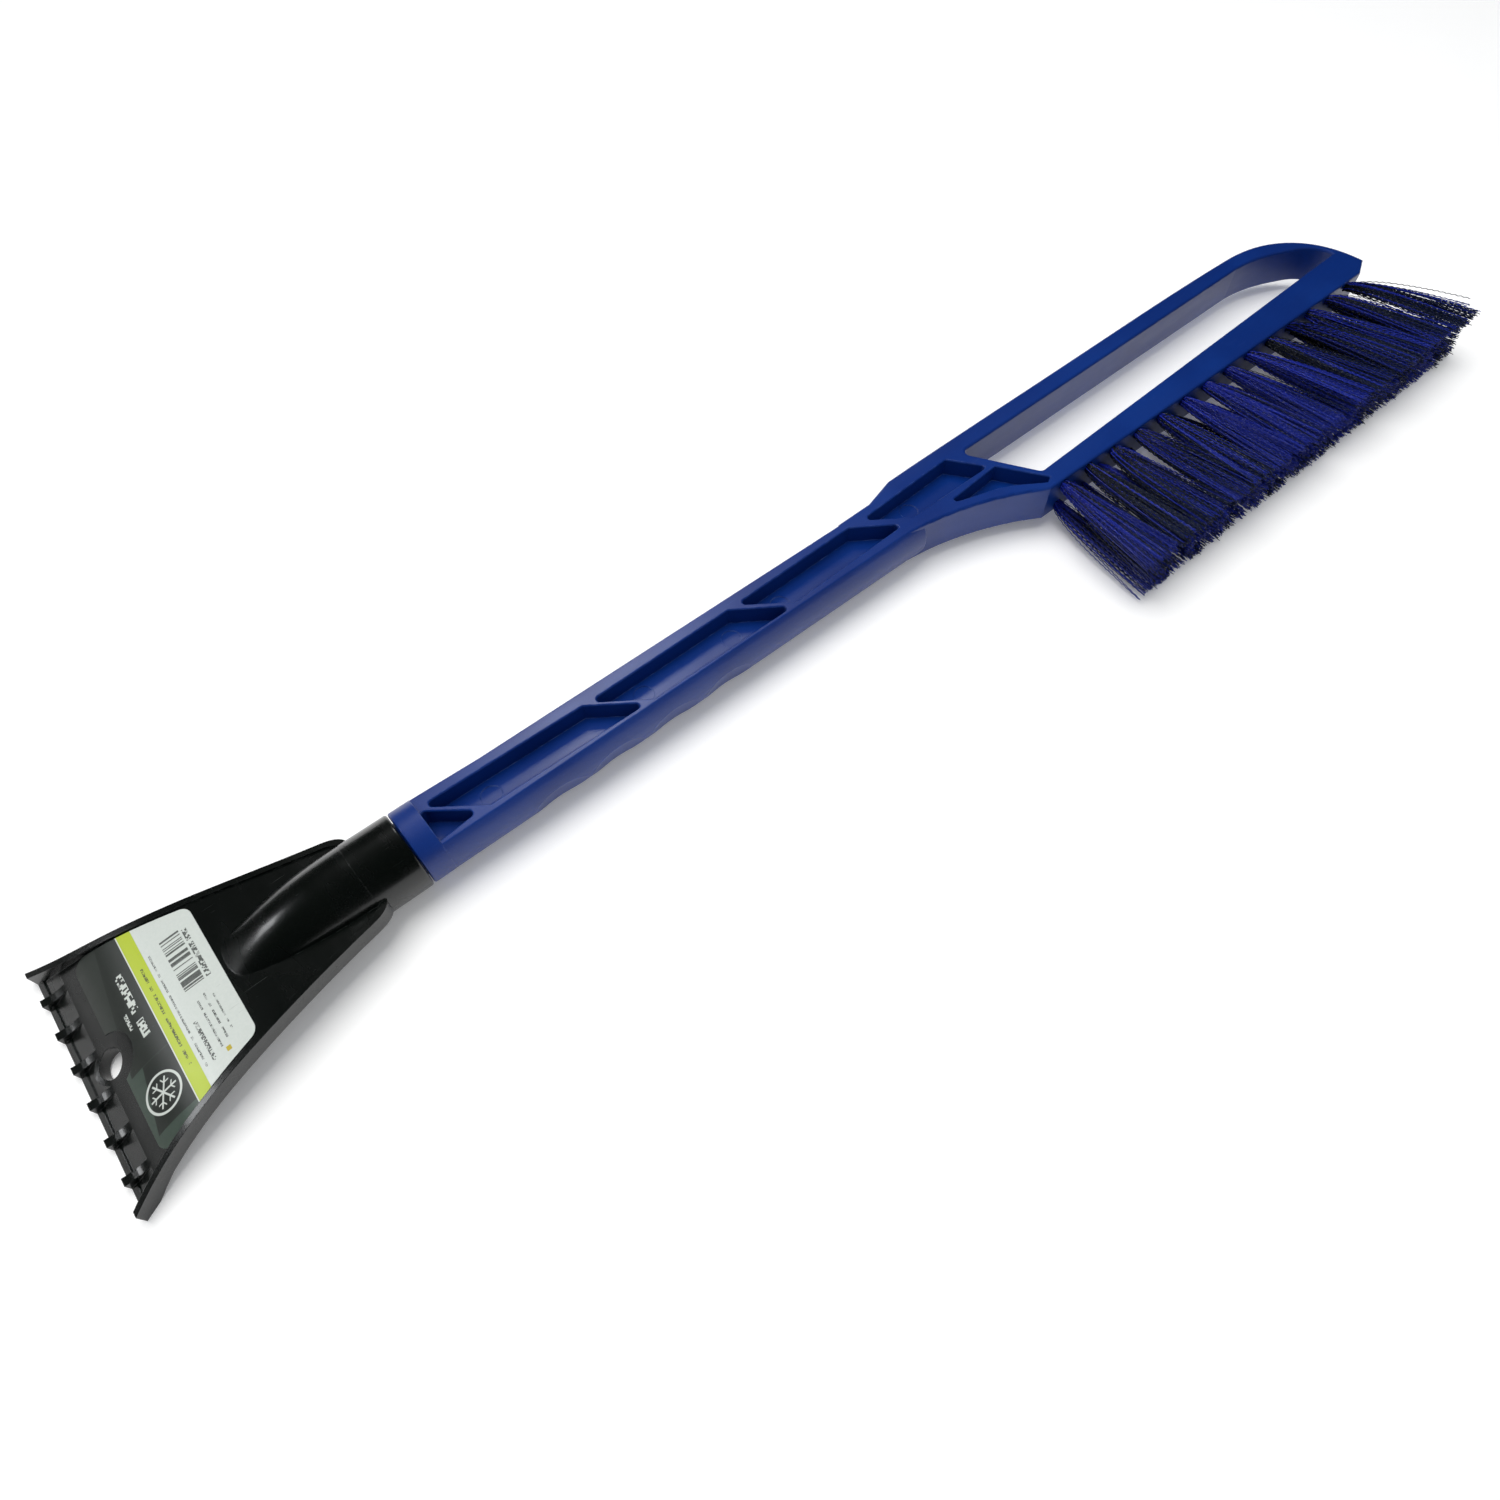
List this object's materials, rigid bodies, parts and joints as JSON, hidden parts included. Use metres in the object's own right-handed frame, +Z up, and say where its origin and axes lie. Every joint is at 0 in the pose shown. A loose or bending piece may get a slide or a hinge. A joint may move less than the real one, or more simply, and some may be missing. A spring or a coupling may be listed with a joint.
{
  "type": "snow brush scraper",
  "caption": "Hand-held car snow brush with an open brush frame of stapled bristle tufts on one end of a ribbed handle and a flared ice scraper blade on the other.",
  "frame": {"origin": "bottom centre of the whole tool's box, on the surface the tool lies on", "axes": "+X from the scraping edge to the brush end along the handle, bristles point to -Y, +Z up out of the surface"},
  "size_m": [0.61, 0.1264, 0.0268],
  "materials": {
    "head_plastic": "glossy black injection moulded plastic",
    "handle_plastic": "semi-gloss blue injection moulded polypropylene",
    "label_film": "printed satin film in white, lime and dark green",
    "bristle": "crimped blue and black plastic filaments",
    "staple_steel": "flat steel anchor wire"
  },
  "bodies": {
    "root": {"scraper_head": "head_plastic", "handle_frame": "handle_plastic", "label": "label_film", "tuft_top_01": "bristle", "tuft_top_02": "bristle", "tuft_top_03": "bristle", "tuft_top_04": "bristle", "tuft_top_05": "bristle", "tuft_top_06": "bristle", "tuft_top_07": "bristle", "tuft_top_08": "bristle", "tuft_top_09": "bristle", "tuft_top_10": "bristle", "tuft_top_11": "bristle", "tuft_top_12": "bristle", "tuft_top_13": "bristle", "tuft_top_14": "bristle", "tuft_middle_01": "bristle", "tuft_middle_02": "bristle", "tuft_middle_03": "bristle", "tuft_middle_04": "bristle", "tuft_middle_05": "bristle", "tuft_middle_06": "bristle", "tuft_middle_07": "bristle", "tuft_middle_08": "bristle", "tuft_middle_09": "bristle", "tuft_middle_10": "bristle", "tuft_middle_11": "bristle", "tuft_middle_12": "bristle", "tuft_middle_13": "bristle", "tuft_bottom_01": "bristle", "tuft_bottom_02": "bristle", "tuft_bottom_03": "bristle", "tuft_bottom_04": "bristle", "tuft_bottom_05": "bristle", "tuft_bottom_06": "bristle", "tuft_bottom_07": "bristle", "tuft_bottom_08": "bristle", "tuft_bottom_09": "bristle", "tuft_bottom_10": "bristle", "tuft_bottom_11": "bristle", "tuft_bottom_12": "bristle", "tuft_bottom_13": "bristle", "tuft_bottom_14": "bristle", "staples_top": "staple_steel", "staples_middle": "staple_steel", "staples_bottom": "staple_steel"}
  },
  "joints": []
}
